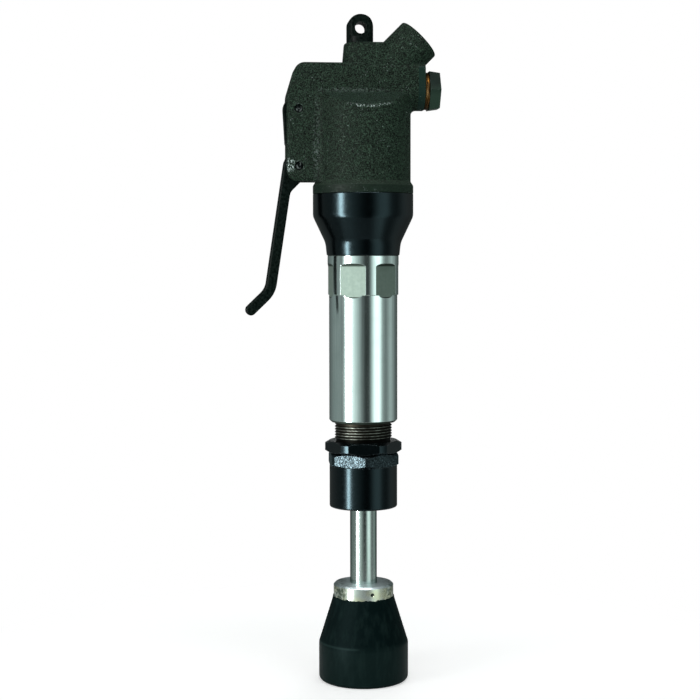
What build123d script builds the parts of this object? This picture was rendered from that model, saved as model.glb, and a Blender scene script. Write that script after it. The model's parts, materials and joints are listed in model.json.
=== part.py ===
from build123d import *
import os
from math import cos, radians, sin, sqrt, tan

# A bench sand rammer standing on its rubber butt, piston fully retracted.
# The origin is the centre of the striking face, +Z runs up the tool, the throttle lever is on the -X side.
# Lengths are millimetres and angles are degrees.

# Heights along the tool, stacked from the striking face up
butt_height = 54.4
hub_flange_height = 9.7
rod_exposed = 50.3
gland_skirt_height = 27.2
gland_hex_height = 8.6
lock_nut_height = 7.85
thread_exposed = 12.15
barrel_length = 82.6
wrench_collar_height = 25.5
sleeve_height = 39.6
head_rim_height = 7.8

# Rubber butt and its hub
butt_r = 29.3
butt_side_height = 26.0
butt_edge_round = 3.0
butt_lip = 0.6
hub_flange_r = 19.6
hub_flange_chamfer = 1.2
hub_wall = 4.1
hub_stem_length = 36.0
hub_floor = 11.4
hub_rib_depth = 2.7
hub_rib_height = 4.0
hub_foot_height = 5.0
butt_pin_r = 1.2
butt_pin_recess = 0.6
butt_pin_azimuth = 10.5

# Piston, rod and rings
bore_r = 14.3
piston_length = 30.0
piston_clearance = 0.1
rod_r = 8.75
rod_taper_drop = 1.7
rod_shoulder_round = 2.0
stroke = 100.0
ring_count = 3
ring_height = 2.4
ring_depth = 2.2
ring_pitch = 6.5
ring_first = 4.0
ring_gap = 1.2
ring_clearance = 0.03
ring_back_gap = 0.3
ring_side_gap = 0.05
piston_top_gap = 0.3
piston_end_gap = 2.0

# Barrel, each step of its outside built on the one inside it
thread_wall = 3.4
barrel_step = 4.5
barrel_chamfer = 1.5
wrench_collar_step = 0.9
wrench_flat_depth = 1.65
wrench_flat_count = 6
wrench_flat_top = 5.0
wrench_flat_overrun = 2.6
wrench_flat_runout = 2.5
wrench_flat_azimuth = 36.0
barrel_shoulder = 2.7
barrel_spigot_height = 15.6
return_port_r = 1.8
return_port_wall = 1.3
return_cross_r = 1.5

# Gland nut, lock nut and what they hold
gland_wall = 4.4
gland_flat_wall = 4.1
gland_corner = 2.5
gland_azimuth = 30.0
gland_edge_round = 1.2
lock_nut_wall = 5.2
lock_nut_corner = 2.1
lock_nut_azimuth = 54.5
nut_chamfer = 2.8
nut_chamfer_angle = 30.0
gland_web_height = 3.0
gland_rod_gap = 0.3
wiper_height = 3.5
wiper_width = 3.8
packing_width = 5.5
packing_count = 3
packing_ring_height = 3.0
bush_flange_height = 3.0
rod_clearance = 0.05

# Coupling sleeve
sleeve_mouth_wall = 3.2
sleeve_neck_wall = 4.1
sleeve_neck_height = 8.2
sleeve_shoulder_height = 25.1
sleeve_shoulder_round = 8.0
sleeve_neck_round = 14.0
joint_chamfer = 0.5

# Valve chest inside the head
head_bore_r = 24.5
chest_clearance = 0.1
chest_land = 1.6
chest_floor = 13.8
chest_throat_r = 5.0
cover_height = 7.2
cover_hole_r = 4.0
gasket_thickness = 0.8
valve_bore_r = 11.0
valve_clearance = 0.05
valve_travel = 3.0
valve_end_gap = 0.3
valve_land_height = 6.0
valve_waist_depth = 3.0
valve_hole_r = 3.0
exhaust_groove_depth = 4.0
exhaust_groove_height = 9.0
exhaust_port_r = 2.5
exhaust_port_count = 4
dowel_r = 1.5
dowel_length = 12.0
dowel_wall = 4.5

# Head casting: round body and rim
head_wall = 6.3
body_top = 64.9
body_top_slope = 29.0
body_shoulder_round = 4.0
rim_step = 1.7
rim_slope_height = 2.6
head_spigot_wall = 4.0
head_spigot_height = 16.0
exhaust_hole_r = 3.5
exhaust_hole_margin = 2.4
exhaust_hole_count = 3
exhaust_hole_step = 28.0

# Head casting: lever housing and valve block
block_half_width = 12.7
block_rise = 16.7
block_edge_round = 4.0
housing_edge = 7.5
housing_corner_round = 7.0
housing_slope_rise = 8.6
housing_slope = 17.0
housing_slope_round = 14.0
housing_edge_round = 2.0
housing_flare_round = 6.0
flare_sink = 0.05
slot_half_width = 6.3
slot_wall_gap = 1.3
slot_roof_gap = 3.4
boss_reach = 8.4
boss_edge_round = 0.8
block_root_round = 3.4

# Head casting: neck and inlet boss
neck_height = 13.5
neck_half_width = 11.6
neck_reach = 13.8
neck_draft = 5.0
neck_round = 2.0
inlet_angle = 45.0
inlet_offset = 7.7
inlet_reach = 35.1
inlet_thread_r = 7.6
inlet_bushing_wall = 3.2
inlet_bushing_length = 18.0
inlet_boss_wall = 4.1
inlet_boss_round = 1.0
inlet_passage_r = 5.0
strainer_gap = 0.2
strainer_length = 9.0
strainer_wall = 0.8
strainer_hole_r = 1.0
strainer_hole_count = 8
strainer_rows = 2

# Suspension eye
eye_x = -2.0
eye_r = 8.65
eye_base_height = 3.8
eye_hole_height = 9.2
eye_hole_r = 3.7
eye_half_thickness = 6.5
eye_stud_r = 6.0
eye_stud_length = 16.0

# Throttle lever and rocker
pin_offset = 11.5
lever_pin_height = 17.4
rocker_pin_rise = 36.2
throttle_rise = 12.7
pin_r = 2.75
pin_recess = 0.8
pin_chamfer = 0.7
pin_clearance = 0.06
lever_side_gap = 0.3
lever_boss_r = 9.4
lever_lean = 8.65
lever_thickness = 6.9
lever_grip = 76.6
lever_bend_r = 15.2
lever_bend = 37.4
lever_tip = 12.3
lever_gusset_start = 17.1
lever_gusset_length = 12.0
lever_gusset_angle = 45.0
lever_gusset_round = 6.0
lever_edge_round = 1.5
lever_nose_reach = 17.3
lever_nose_offset = 0.4
lever_nose_r = 3.2
lever_nose_root_r = 4.4
lever_nose_root_offset = 2.0
rocker_boss_r = 9.4
rocker_tail_tuck = 1.3
rocker_tail_below_nose = 4.0
rocker_tail_round = 1.6
rocker_head_r = 4.6
rocker_head_offset = 1.3
contact_gap = 0.2

# Throttle valve along the valve block
seat_x = 4.0
throttle_bush_length = 24.0
throttle_bore_r = 8.6
throttle_flow_r = 5.2
throttle_flow_depth = 11.0
throttle_port_r = 4.0
plunger_r = 3.0
plunger_clearance = 0.05
plunger_hole_gap = 0.4
seat_gap = 0.2
poppet_gap = 1.2
poppet_thickness = 4.0
poppet_hub_gap = 0.6
poppet_hub_length = 3.0
seal_margin = 0.4
seal_thickness = 2.0
cap_thread_step = 1.4
cap_thread_depth = 13.0
cap_spigot_length = 11.0
cap_wall = 3.0
cap_recess_depth = 6.0
cap_gasket_margin = 0.5
cap_gasket_thickness = 3.0
cap_height = 7.0
cap_margin = 0.5
cap_draft = 8.0
spring_r = 5.0
spring_wire_r = 0.8
spring_turns = 7

# Levels worked out from the heights
z_butt_top = butt_height
z_flange_top = z_butt_top + hub_flange_height
z_gland = z_flange_top + rod_exposed
z_gland_hex = z_gland + gland_skirt_height
z_lock_nut = z_gland_hex + gland_hex_height
z_thread = z_lock_nut + lock_nut_height
z_barrel = z_thread + thread_exposed
z_collar = z_barrel + barrel_length
z_sleeve = z_collar + wrench_collar_height
z_head = z_sleeve + sleeve_height
z_rim_top = z_head + head_rim_height
z_packing = z_gland + wiper_height + gland_web_height
z_bush_flange = z_packing + packing_count * packing_ring_height
z_barrel_end = z_bush_flange + bush_flange_height
z_barrel_top = z_sleeve + barrel_spigot_height
z_piston_top = z_barrel_top - piston_top_gap
z_piston = z_piston_top - piston_length
z_bush_top = z_piston - stroke - piston_end_gap
z_valve_floor = z_barrel_top + chest_floor
z_head_spigot = z_head - head_spigot_height
z_body_top = z_head + body_top
z_exhaust = z_rim_top + exhaust_hole_margin + exhaust_hole_r
z_chest_top = z_exhaust + exhaust_groove_height / 2 + chest_land
z_cover_top = z_chest_top + cover_height
z_head_roof = z_cover_top + gasket_thickness
z_lever_pin = z_head + lever_pin_height
z_rocker_pin = z_lever_pin + rocker_pin_rise
z_throttle = z_rocker_pin + throttle_rise
z_block_top = z_throttle + block_rise
z_neck_top = z_block_top + neck_height
z_eye_hole = z_neck_top + eye_hole_height

# Radii worked out from the bore, the rod and the walls around them
thread_root_r = bore_r + thread_wall
barrel_r = thread_root_r + barrel_step
wrench_collar_r = barrel_r + wrench_collar_step
wrench_flat_distance = wrench_collar_r - wrench_flat_depth
barrel_spigot_r = wrench_collar_r - barrel_shoulder
return_port_circle_r = bore_r + return_port_wall + return_port_r
piston_r = bore_r - piston_clearance
ring_outer_r = bore_r - ring_clearance
ring_inner_r = ring_outer_r - ring_depth
rod_bore_r = rod_r + rod_clearance
wiper_r = rod_r + wiper_width
packing_r = rod_r + packing_width
hub_stem_r = rod_r + hub_wall
hub_rib_r = hub_stem_r + hub_rib_depth
butt_top_r = hub_flange_r + butt_lip
sleeve_mouth_r = barrel_spigot_r + sleeve_mouth_wall
sleeve_neck_r = barrel_spigot_r + sleeve_neck_wall
chest_r = head_bore_r - chest_clearance
dowel_circle_r = valve_bore_r + dowel_wall + dowel_r
head_spigot_r = head_bore_r + head_spigot_wall
body_r = head_bore_r + head_wall
rim_r = body_r + rim_step
inlet_bushing_r = inlet_thread_r + inlet_bushing_wall
inlet_boss_r = inlet_bushing_r + inlet_boss_wall
strainer_r = inlet_thread_r - strainer_gap
cap_thread_r = throttle_bore_r + cap_thread_step
cap_recess_r = cap_thread_r - cap_wall
poppet_r = throttle_bore_r - poppet_gap
poppet_hub_r = spring_r - spring_wire_r - poppet_hub_gap

# Places worked out along X
pin_x = -body_r - pin_offset
x_housing = pin_x - housing_edge
x_slot_wall = pin_x + max(lever_boss_r, rocker_boss_r) + slot_wall_gap
x_throttle_bush = seat_x - throttle_bush_length
x_throttle_port = seat_x - throttle_flow_depth / 2
x_boss_face = body_r + boss_reach
x_cap_inner = x_boss_face - cap_spigot_length
x_cap_seat = x_boss_face + cap_gasket_thickness
x_cap_floor = x_cap_inner + cap_recess_depth
x_rocker_nose = pin_x + rocker_head_offset + rocker_head_r
x_plunger_end = x_rocker_nose + contact_gap
x_seal = seat_x + seat_gap
x_poppet = x_seal + seal_thickness
x_poppet_back = x_poppet + poppet_thickness

# The inlet axis leaves the roof of the throttle bore and climbs at the inlet angle
inlet_way = Vector(cos(radians(inlet_angle)), 0, sin(radians(inlet_angle)))
inlet_root = Vector(seat_x + inlet_offset, 0, z_throttle + throttle_bore_r)
inlet_mouth = inlet_root + inlet_way * inlet_reach
inlet_bushing_end = inlet_mouth - inlet_way * inlet_bushing_length
strainer_end = inlet_bushing_end - inlet_way * strainer_length

lever_pin_place = (pin_x, z_lever_pin)
rocker_pin_place = (pin_x, z_rocker_pin)
lever_nose_place = (pin_x + lever_nose_offset, z_lever_pin + lever_nose_reach)
lever_half_width = slot_half_width - lever_side_gap
hex_sides = 6


def outline(*corners):
    """A closed face from (x, y) or (x, y, rounding) corners."""
    points = [corner[:2] for corner in corners]
    rounds = [corner[2] if len(corner) > 2 else 0 for corner in corners]
    return make_face(FilletPolyline(*points, radius=rounds, close=True))


def turned(*corners):
    """A body of revolution about Z from (radius, height) corners."""
    return revolve(Plane.XZ * outline(*corners), Axis.Z)


def tube(outer_r, inner_r, bottom, top):
    return turned((inner_r, bottom), (outer_r, bottom), (outer_r, top), (inner_r, top))


def slab(sketch, half_width):
    """A side view in X and Z, given thickness both ways along Y."""
    return extrude(Plane.XZ * sketch, half_width, both=True)


def bar(start, end, radius):
    """A round bar between two points."""
    way = Vector(end) - Vector(start)
    place = Plane(origin=start, z_dir=way)
    return place * Cylinder(radius, way.length, align=(Align.CENTER, Align.CENTER, Align.MIN))


def along_throttle(start, end, radius):
    """A round bar on the throttle valve's axis."""
    return bar((start, 0, z_throttle), (end, 0, z_throttle), radius)


def disc(place, radius):
    """A round face in a side view."""
    return Pos(*place) * Circle(radius)


def facing(azimuth, solid):
    """Turns a feature that faces -Y to an azimuth counted from -Y towards +X."""
    return Rot(0, 0, azimuth) * solid


def radial(azimuth, inner_r, outer_r, height, radius):
    return facing(azimuth, bar((0, -inner_r, height), (0, -outer_r, height), radius))


def hex_bar(across_flats, azimuth, bottom, top):
    section = RegularPolygon(across_flats / 2, hex_sides, major_radius=False, rotation=azimuth)
    return Pos(0, 0, bottom) * extrude(section, top - bottom)


def hub_profile():
    """The hub's stem as it sits in the rubber, flange excluded."""
    stem_end = z_butt_top - hub_stem_length
    foot_top = stem_end + hub_foot_height
    rib = z_butt_top - (z_butt_top - foot_top) / 2
    rib_low = rib - hub_rib_height / 2
    rib_high = rib + hub_rib_height / 2
    return [
        (0, stem_end),
        (hub_rib_r, stem_end),
        (hub_rib_r, foot_top),
        (hub_stem_r, foot_top),
        (hub_stem_r, rib_low),
        (hub_rib_r, rib_low),
        (hub_rib_r, rib_high),
        (hub_stem_r, rib_high),
        (hub_stem_r, z_butt_top),
    ]


def make_rubber_butt():
    shell = turned(
        (0, 0),
        (butt_r, 0, butt_edge_round),
        (butt_r, butt_side_height, butt_edge_round),
        (butt_top_r, z_butt_top, joint_chamfer),
        (0, z_butt_top),
    )
    return shell - turned(*hub_profile(), (0, z_butt_top))


def rod_taper():
    """The tapered rod end that the hub is driven onto."""
    taper_end = z_butt_top - hub_stem_length + hub_floor
    return turned(
        (0, taper_end),
        (rod_r - rod_taper_drop, taper_end),
        (rod_r, z_flange_top),
        (0, z_flange_top),
    )


def butt_pin_bar(reach):
    height = z_butt_top + hub_flange_height / 2
    return facing(butt_pin_azimuth, bar((0, -reach, height), (0, reach, height), butt_pin_r))


def make_butt_hub():
    flange_corners = [
        (hub_flange_r, z_butt_top, joint_chamfer),
        (hub_flange_r, z_flange_top - hub_flange_chamfer),
        (hub_flange_r - hub_flange_chamfer, z_flange_top),
        (0, z_flange_top),
    ]
    hub = turned(*hub_profile(), *flange_corners)
    return hub - rod_taper() - butt_pin_bar(hub_flange_r * 2)


def make_butt_pin():
    return butt_pin_bar(hub_flange_r - butt_pin_recess)


def ring_levels():
    return [z_piston_top - ring_first - ring_height - index * ring_pitch for index in range(ring_count)]


def make_piston_rod():
    body = turned(
        (0, z_flange_top),
        (rod_r, z_flange_top),
        (rod_r, z_piston, rod_shoulder_round),
        (piston_r, z_piston, joint_chamfer),
        (piston_r, z_piston_top, joint_chamfer),
        (0, z_piston_top),
    )
    body += rod_taper()
    groove_r = ring_inner_r - ring_back_gap
    for level in ring_levels():
        groove_top = level + ring_height + ring_side_gap
        body -= tube(piston_r + ring_depth, groove_r, level - ring_side_gap, groove_top)
    return body - butt_pin_bar(hub_flange_r * 2)


def make_piston_rings():
    rings = []
    for index, level in enumerate(ring_levels()):
        ring = tube(ring_outer_r, ring_inner_r, level, level + ring_height)
        split = Pos(0, -bore_r, level + ring_height / 2) * Box(ring_gap, bore_r, ring_height * 2)
        rings.append(ring - facing(index * 360 / ring_count, split))
    return Compound(children=rings)


def wrench_flat_cut():
    """One milled flat, with the cutter's run-out at both ends, facing -Y."""
    low = z_collar - wrench_flat_overrun
    high = z_sleeve - wrench_flat_top
    reach = wrench_collar_r + wrench_flat_runout
    side = outline(
        (-reach, low),
        (-wrench_flat_distance, low, wrench_flat_runout),
        (-wrench_flat_distance, high, wrench_flat_runout),
        (-reach, high),
    )
    return extrude(Plane.YZ * side, wrench_collar_r, both=True)


def make_cylinder_barrel():
    barrel = turned(
        (bore_r, z_barrel_end),
        (thread_root_r, z_barrel_end, joint_chamfer),
        (thread_root_r, z_barrel),
        (barrel_r - barrel_chamfer, z_barrel),
        (barrel_r, z_barrel + barrel_chamfer),
        (barrel_r, z_collar),
        (wrench_collar_r, z_collar, joint_chamfer),
        (wrench_collar_r, z_sleeve, joint_chamfer),
        (barrel_spigot_r, z_sleeve),
        (barrel_spigot_r, z_barrel_top, joint_chamfer),
        (bore_r, z_barrel_top),
    )
    cut = wrench_flat_cut()
    for index in range(wrench_flat_count):
        barrel -= facing(wrench_flat_azimuth + index * 360 / wrench_flat_count, cut)
    port_end = max(z_bush_top, z_barrel + barrel_chamfer) + return_port_wall
    return barrel - return_port(port_end, z_barrel_top, port_end + return_port_r)


def return_port(bottom, top, cross_level):
    """The return air's long drilling beside the bore, with the cross drilling that meets it."""
    long = bar((0, return_port_circle_r, bottom), (0, return_port_circle_r, top), return_port_r)
    return long + bar((0, 0, cross_level), (0, return_port_circle_r, cross_level), return_cross_r)


def chamfered_hex(flat_r, corner, azimuth, bottom, top):
    """A hexagon with its corners turned off and its ends chamfered."""
    corner_r = flat_r + corner
    drop = nut_chamfer * tan(radians(nut_chamfer_angle))
    blank = turned(
        (0, bottom),
        (corner_r - nut_chamfer, bottom),
        (corner_r, bottom + drop),
        (corner_r, top - drop),
        (corner_r - nut_chamfer, top),
        (0, top),
    )
    return blank & hex_bar(flat_r * 2, azimuth, bottom, top)


def make_lock_nut():
    flat_r = thread_root_r + lock_nut_wall
    nut = chamfered_hex(flat_r, lock_nut_corner, lock_nut_azimuth, z_lock_nut, z_thread)
    return nut - bar((0, 0, z_lock_nut), (0, 0, z_thread), thread_root_r)


def make_gland_nut():
    flat_r = thread_root_r + gland_flat_wall
    skirt_r = thread_root_r + gland_wall
    nut = chamfered_hex(flat_r, gland_corner, gland_azimuth, z_gland_hex, z_lock_nut)
    nut += turned(
        (0, z_gland),
        (skirt_r, z_gland, gland_edge_round),
        (skirt_r, z_gland_hex),
        (skirt_r - nut_chamfer, z_gland_hex + nut_chamfer),
        (0, z_gland_hex + nut_chamfer),
    )
    nut -= bar((0, 0, z_gland), (0, 0, z_lock_nut), rod_r + gland_rod_gap)
    nut -= bar((0, 0, z_gland), (0, 0, z_gland + wiper_height), wiper_r)
    nut -= bar((0, 0, z_packing), (0, 0, z_bush_flange), packing_r)
    return nut - bar((0, 0, z_bush_flange), (0, 0, z_lock_nut), thread_root_r)


def make_rod_wiper():
    top = z_gland + wiper_height
    return turned(
        (rod_bore_r, z_gland),
        (rod_r + gland_rod_gap, z_gland),
        (wiper_r, z_gland + joint_chamfer),
        (wiper_r, top),
        (rod_bore_r, top),
    )


def make_rod_packing():
    rings = []
    for index in range(packing_count):
        level = z_packing + index * packing_ring_height
        rings.append(tube(packing_r, rod_bore_r, level, level + packing_ring_height))
    return Compound(children=rings)


def make_rod_bushing():
    return turned(
        (rod_bore_r, z_bush_flange),
        (thread_root_r, z_bush_flange),
        (thread_root_r, z_barrel_end),
        (bore_r, z_barrel_end),
        (bore_r, z_bush_top),
        (rod_bore_r, z_bush_top),
    )


def make_coupling_sleeve():
    chest_ledge = z_barrel_top - joint_chamfer * 2
    return turned(
        (barrel_spigot_r, z_sleeve),
        (sleeve_mouth_r, z_sleeve, joint_chamfer),
        (sleeve_neck_r, z_sleeve + sleeve_neck_height, sleeve_neck_round),
        (rim_r, z_sleeve + sleeve_shoulder_height, sleeve_shoulder_round),
        (rim_r, z_head, joint_chamfer),
        (head_spigot_r, z_head),
        (head_spigot_r, z_head_spigot),
        (head_bore_r, z_head_spigot),
        (head_bore_r, chest_ledge),
        (barrel_spigot_r, chest_ledge),
    )


def make_valve_chest():
    chest = turned(
        (0, z_barrel_top),
        (chest_r, z_barrel_top, joint_chamfer),
        (chest_r, z_chest_top),
        (0, z_chest_top),
    )
    chest -= bar((0, 0, z_barrel_top), (0, 0, z_valve_floor), chest_throat_r)
    chest -= bar((0, 0, z_valve_floor), (0, 0, z_chest_top), valve_bore_r)
    groove_low = z_exhaust - exhaust_groove_height / 2
    groove_r = chest_r - exhaust_groove_depth
    chest -= tube(chest_r + exhaust_groove_depth, groove_r, groove_low, groove_low + exhaust_groove_height)
    for index in range(exhaust_port_count):
        azimuth = (index + 0.5) * 360 / exhaust_port_count
        chest -= radial(azimuth, valve_bore_r / 2, chest_r, z_exhaust, exhaust_port_r)
    cross_level = z_valve_floor + valve_land_height
    chest -= return_port(z_barrel_top, cross_level + return_port_r, cross_level)
    return chest - dowel_bars()


def dowel_bars():
    """Two dowels across the joint of chest and cover, centred on it."""
    low = z_chest_top - dowel_length / 2
    dowels = []
    for side in (-1, 1):
        place = (side * dowel_circle_r, 0)
        dowels.append(bar((*place, low), (*place, low + dowel_length), dowel_r))
    return Compound(children=dowels)


def make_valve_cover():
    cover = tube(chest_r, cover_hole_r, z_chest_top, z_cover_top)
    return cover - dowel_bars()


def make_chest_gasket():
    return tube(chest_r, cover_hole_r, z_cover_top, z_head_roof)


def make_main_valve():
    """The spool, resting near the chest floor with its travel above it."""
    low = z_valve_floor + valve_end_gap
    high = z_chest_top - valve_end_gap - valve_travel
    land_r = valve_bore_r - valve_clearance
    waist_r = land_r - valve_waist_depth
    return turned(
        (valve_hole_r, low),
        (land_r, low),
        (land_r, low + valve_land_height),
        (waist_r, low + valve_land_height),
        (waist_r, high - valve_land_height),
        (land_r, high - valve_land_height),
        (land_r, high),
        (valve_hole_r, high),
    )


def head_body():
    """The round body on its rim, its top sloped down from the valve block to rounded shoulders on both sides."""
    slope = radians(body_top_slope)
    ridge = z_body_top + block_half_width * tan(slope)
    blank_top = ridge + body_r
    blank = turned(
        (0, z_head_spigot),
        (head_spigot_r, z_head_spigot),
        (head_spigot_r, z_head),
        (rim_r, z_head, joint_chamfer),
        (rim_r, z_rim_top - rim_slope_height, rim_step),
        (body_r, z_rim_top, rim_step),
        (body_r, blank_top),
        (0, blank_top),
    )
    roof = Plane(origin=(0, 0, ridge), z_dir=(0, -sin(slope), cos(slope)))
    front = split(blank, bisect_by=roof, keep=Keep.BOTTOM)
    front = fillet(front.edges().filter_by(GeomType.ELLIPSE), body_shoulder_round)
    return front & mirror(front, Plane.XZ)


def lever_housing():
    """The flat-cheeked housing on the lever side, with its rounded back."""
    slope_low = z_rocker_pin + housing_slope_rise
    slope_run = (z_block_top - slope_low) * tan(radians(housing_slope))
    side = outline(
        (x_housing, z_rim_top, housing_corner_round),
        (x_housing, slope_low, housing_slope_round),
        (x_housing + slope_run, z_block_top, housing_corner_round),
        (0, z_block_top),
        (0, z_rim_top),
    )
    housing = slab(side, block_half_width)
    rims = housing.faces().filter_by(Axis.Y).edges()
    outer = rims.filter_by(lambda edge: edge.center().X < 0)
    return fillet(outer, housing_edge_round)


def housing_flares():
    """The hollow fillets where the housing's cheeks run into the round body."""
    centre_y = block_half_width + housing_flare_round
    centre_x = -sqrt((body_r + housing_flare_round) ** 2 - centre_y**2)
    shrink = body_r / (body_r + housing_flare_round)
    wedge = outline(
        (centre_x, 0),
        (centre_x * shrink, 0),
        (centre_x * shrink, centre_y * shrink),
        (centre_x, block_half_width),
    )
    hollow = disc((centre_x, centre_y), housing_flare_round + flare_sink)
    side = Pos(0, 0, z_rim_top) * extrude(wedge - hollow, z_body_top - body_shoulder_round - z_rim_top)
    return side + mirror(side, Plane.XZ)


def valve_block():
    """The bar across the top of the head that holds the throttle valve."""
    foot = disc((0, z_throttle), block_half_width)
    wall = outline(
        (-block_half_width, z_throttle),
        (block_half_width, z_throttle),
        (block_half_width, z_block_top, block_edge_round),
        (-block_half_width, z_block_top, block_edge_round),
    )
    block = Pos(x_slot_wall, 0, 0) * extrude(Plane.YZ * (foot + wall), x_boss_face - x_slot_wall)
    end = block.faces().sort_by(Axis.X)[-1].edges()
    return fillet(end, boss_edge_round)


def neck_boss():
    """The tapered neck under the eye, run into the inlet boss."""
    base_level = z_block_top - block_edge_round
    lean_in = (z_neck_top - base_level) * tan(radians(neck_draft))
    left = neck_half_width - neck_reach
    run = inlet_root.X - left
    middle = left + run / 2
    foot = Pos(middle, 0, base_level) * SlotCenterToCenter(run, neck_half_width * 2)
    crown = Pos(middle, 0, z_neck_top) * SlotCenterToCenter(run, (neck_half_width - lean_in) * 2)
    neck = loft([foot, crown])
    return fillet(neck.faces().sort_by(Axis.Z)[-1].edges(), neck_round)


def inlet_boss():
    """The inlet boss, as narrow as the neck where it leaves it and round at its mouth."""
    root = inlet_root + inlet_way * (inlet_boss_r / 2)
    across = (0, 1, 0)
    foot = Plane(origin=root, x_dir=across, z_dir=inlet_way) * Ellipse(neck_half_width, inlet_boss_r)
    mouth = Plane(origin=inlet_mouth, x_dir=across, z_dir=inlet_way) * Circle(inlet_boss_r)
    boss = loft([foot, mouth])
    rim = boss.faces().sort_by(Axis((0, 0, 0), inlet_way))[-1].edges()
    return fillet(rim, inlet_boss_round)


def slot_cut():
    """The slot for lever and rocker, open at the back and at the bottom."""
    roof = z_throttle + rocker_head_r + slot_roof_gap
    side = outline(
        (x_housing * 2, z_rim_top),
        (x_slot_wall, z_rim_top),
        (x_slot_wall, roof, slot_roof_gap),
        (x_housing * 2, roof),
    )
    return slab(side, slot_half_width)


def across_pin(place, half_length):
    x, z = place
    return bar((x, -half_length, z), (x, half_length, z), pin_r)


def head_core():
    """The round body and the valve block across it, with the casting's fillet all round their seam."""
    core = head_body() + valve_block()
    under_boss = (body_r, 0, z_throttle - block_half_width)
    seam = core.edges().filter_by(GeomType.BSPLINE).sort_by_distance(under_boss)[0]
    return fillet(seam, block_root_round)


def make_head_casting():
    head = head_core() + lever_housing() + housing_flares() + neck_boss() + inlet_boss()
    head -= bar((0, 0, z_head_spigot), (0, 0, z_head_roof), head_bore_r)
    head -= slot_cut()
    for place in (lever_pin_place, rocker_pin_place):
        head -= across_pin(place, block_half_width * 2)
    head -= along_throttle(x_throttle_bush, x_boss_face, throttle_bore_r)
    head -= along_throttle(x_boss_face - cap_thread_depth, x_boss_face, cap_thread_r)
    head -= along_throttle(x_slot_wall, x_throttle_bush, plunger_r + plunger_hole_gap)
    head -= bar((x_throttle_port, 0, z_head_roof), (x_throttle_port, 0, z_throttle), throttle_port_r)
    head -= bar(inlet_bushing_end, inlet_mouth, inlet_bushing_r)
    head -= bar(strainer_end, inlet_bushing_end, strainer_r)
    head -= bar(inlet_root - inlet_way * inlet_passage_r / 2, strainer_end, inlet_passage_r)
    head -= bar((eye_x, 0, z_neck_top - eye_stud_length), (eye_x, 0, z_neck_top), eye_stud_r)
    first = 180 - exhaust_hole_step * (exhaust_hole_count - 1) / 2
    for index in range(exhaust_hole_count):
        azimuth = first + index * exhaust_hole_step
        head -= radial(azimuth, head_bore_r / 2, body_r * 2, z_exhaust, exhaust_hole_r)
    return head


def make_suspension_eye():
    stud = bar((eye_x, 0, z_neck_top - eye_stud_length), (eye_x, 0, z_neck_top), eye_stud_r)
    tongue_top = z_eye_hole + eye_r
    blank = bar((eye_x, 0, z_neck_top), (eye_x, 0, tongue_top), eye_r)
    tongue_low = z_neck_top + eye_base_height
    arch = disc((eye_x, z_eye_hole), eye_r)
    arch += Pos(eye_x, (tongue_low + z_eye_hole) / 2) * Rectangle(eye_r * 2, z_eye_hole - tongue_low)
    base = bar((eye_x, 0, z_neck_top), (eye_x, 0, tongue_low), eye_r)
    eye = base + (blank & slab(arch, eye_half_thickness)) + stud
    return eye - bar((eye_x, -eye_r, z_eye_hole), (eye_x, eye_r, z_eye_hole), eye_hole_r)


def make_inlet_bushing():
    bushing = bar(inlet_bushing_end, inlet_mouth, inlet_bushing_r)
    return bushing - bar(inlet_bushing_end, inlet_mouth, inlet_thread_r)


def make_inlet_strainer():
    """A thimble with rows of holes, held under the bushing."""
    floor = strainer_end + inlet_way * strainer_wall
    cup = bar(strainer_end, inlet_bushing_end, strainer_r)
    cup -= bar(floor, inlet_bushing_end, strainer_r - strainer_wall)
    place = Plane(origin=floor, z_dir=inlet_way)
    row_step = (strainer_length - strainer_wall) / (strainer_rows + 1)
    for row in range(strainer_rows):
        for index in range(strainer_hole_count):
            turn = Rot(0, 0, index * 360 / strainer_hole_count)
            hole = turn * bar((0, 0, 0), (strainer_r * 2, 0, 0), strainer_hole_r)
            cup -= place * (Pos(0, 0, row_step * (row + 1)) * hole)
    return cup


def make_throttle_bushing():
    bush = along_throttle(x_throttle_bush, seat_x, throttle_bore_r)
    bush -= along_throttle(seat_x - throttle_flow_depth, seat_x, throttle_flow_r)
    bush -= along_throttle(x_throttle_bush, seat_x, plunger_r + plunger_clearance)
    below = z_throttle - throttle_bore_r * 2
    return bush - bar((x_throttle_port, 0, below), (x_throttle_port, 0, z_throttle), throttle_port_r)


def make_throttle_plunger():
    return along_throttle(x_plunger_end, x_poppet_back, plunger_r)


def make_throttle_poppet():
    poppet = along_throttle(x_poppet, x_poppet_back, poppet_r)
    poppet += along_throttle(x_poppet_back, x_poppet_back + poppet_hub_length, poppet_hub_r)
    return poppet - along_throttle(x_plunger_end, x_poppet_back, plunger_r)


def make_poppet_seal():
    seal = along_throttle(x_seal, x_poppet, poppet_r - seal_margin)
    return seal - along_throttle(x_seal, x_poppet, plunger_r)


def make_throttle_cap():
    cap = along_throttle(x_cap_inner, x_cap_seat, cap_thread_r)
    cap -= along_throttle(x_cap_inner, x_cap_floor, cap_recess_r)
    place = Plane(origin=(x_cap_seat, 0, z_throttle), x_dir=(0, 1, 0), z_dir=(1, 0, 0))
    hexagon = RegularPolygon(block_half_width - cap_margin, hex_sides, major_radius=False)
    return cap + place * extrude(hexagon, cap_height, taper=cap_draft)


def make_cap_gasket():
    ring = along_throttle(x_boss_face, x_cap_seat, block_half_width - cap_gasket_margin)
    return ring - along_throttle(x_boss_face, x_cap_seat, cap_thread_r)


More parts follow.
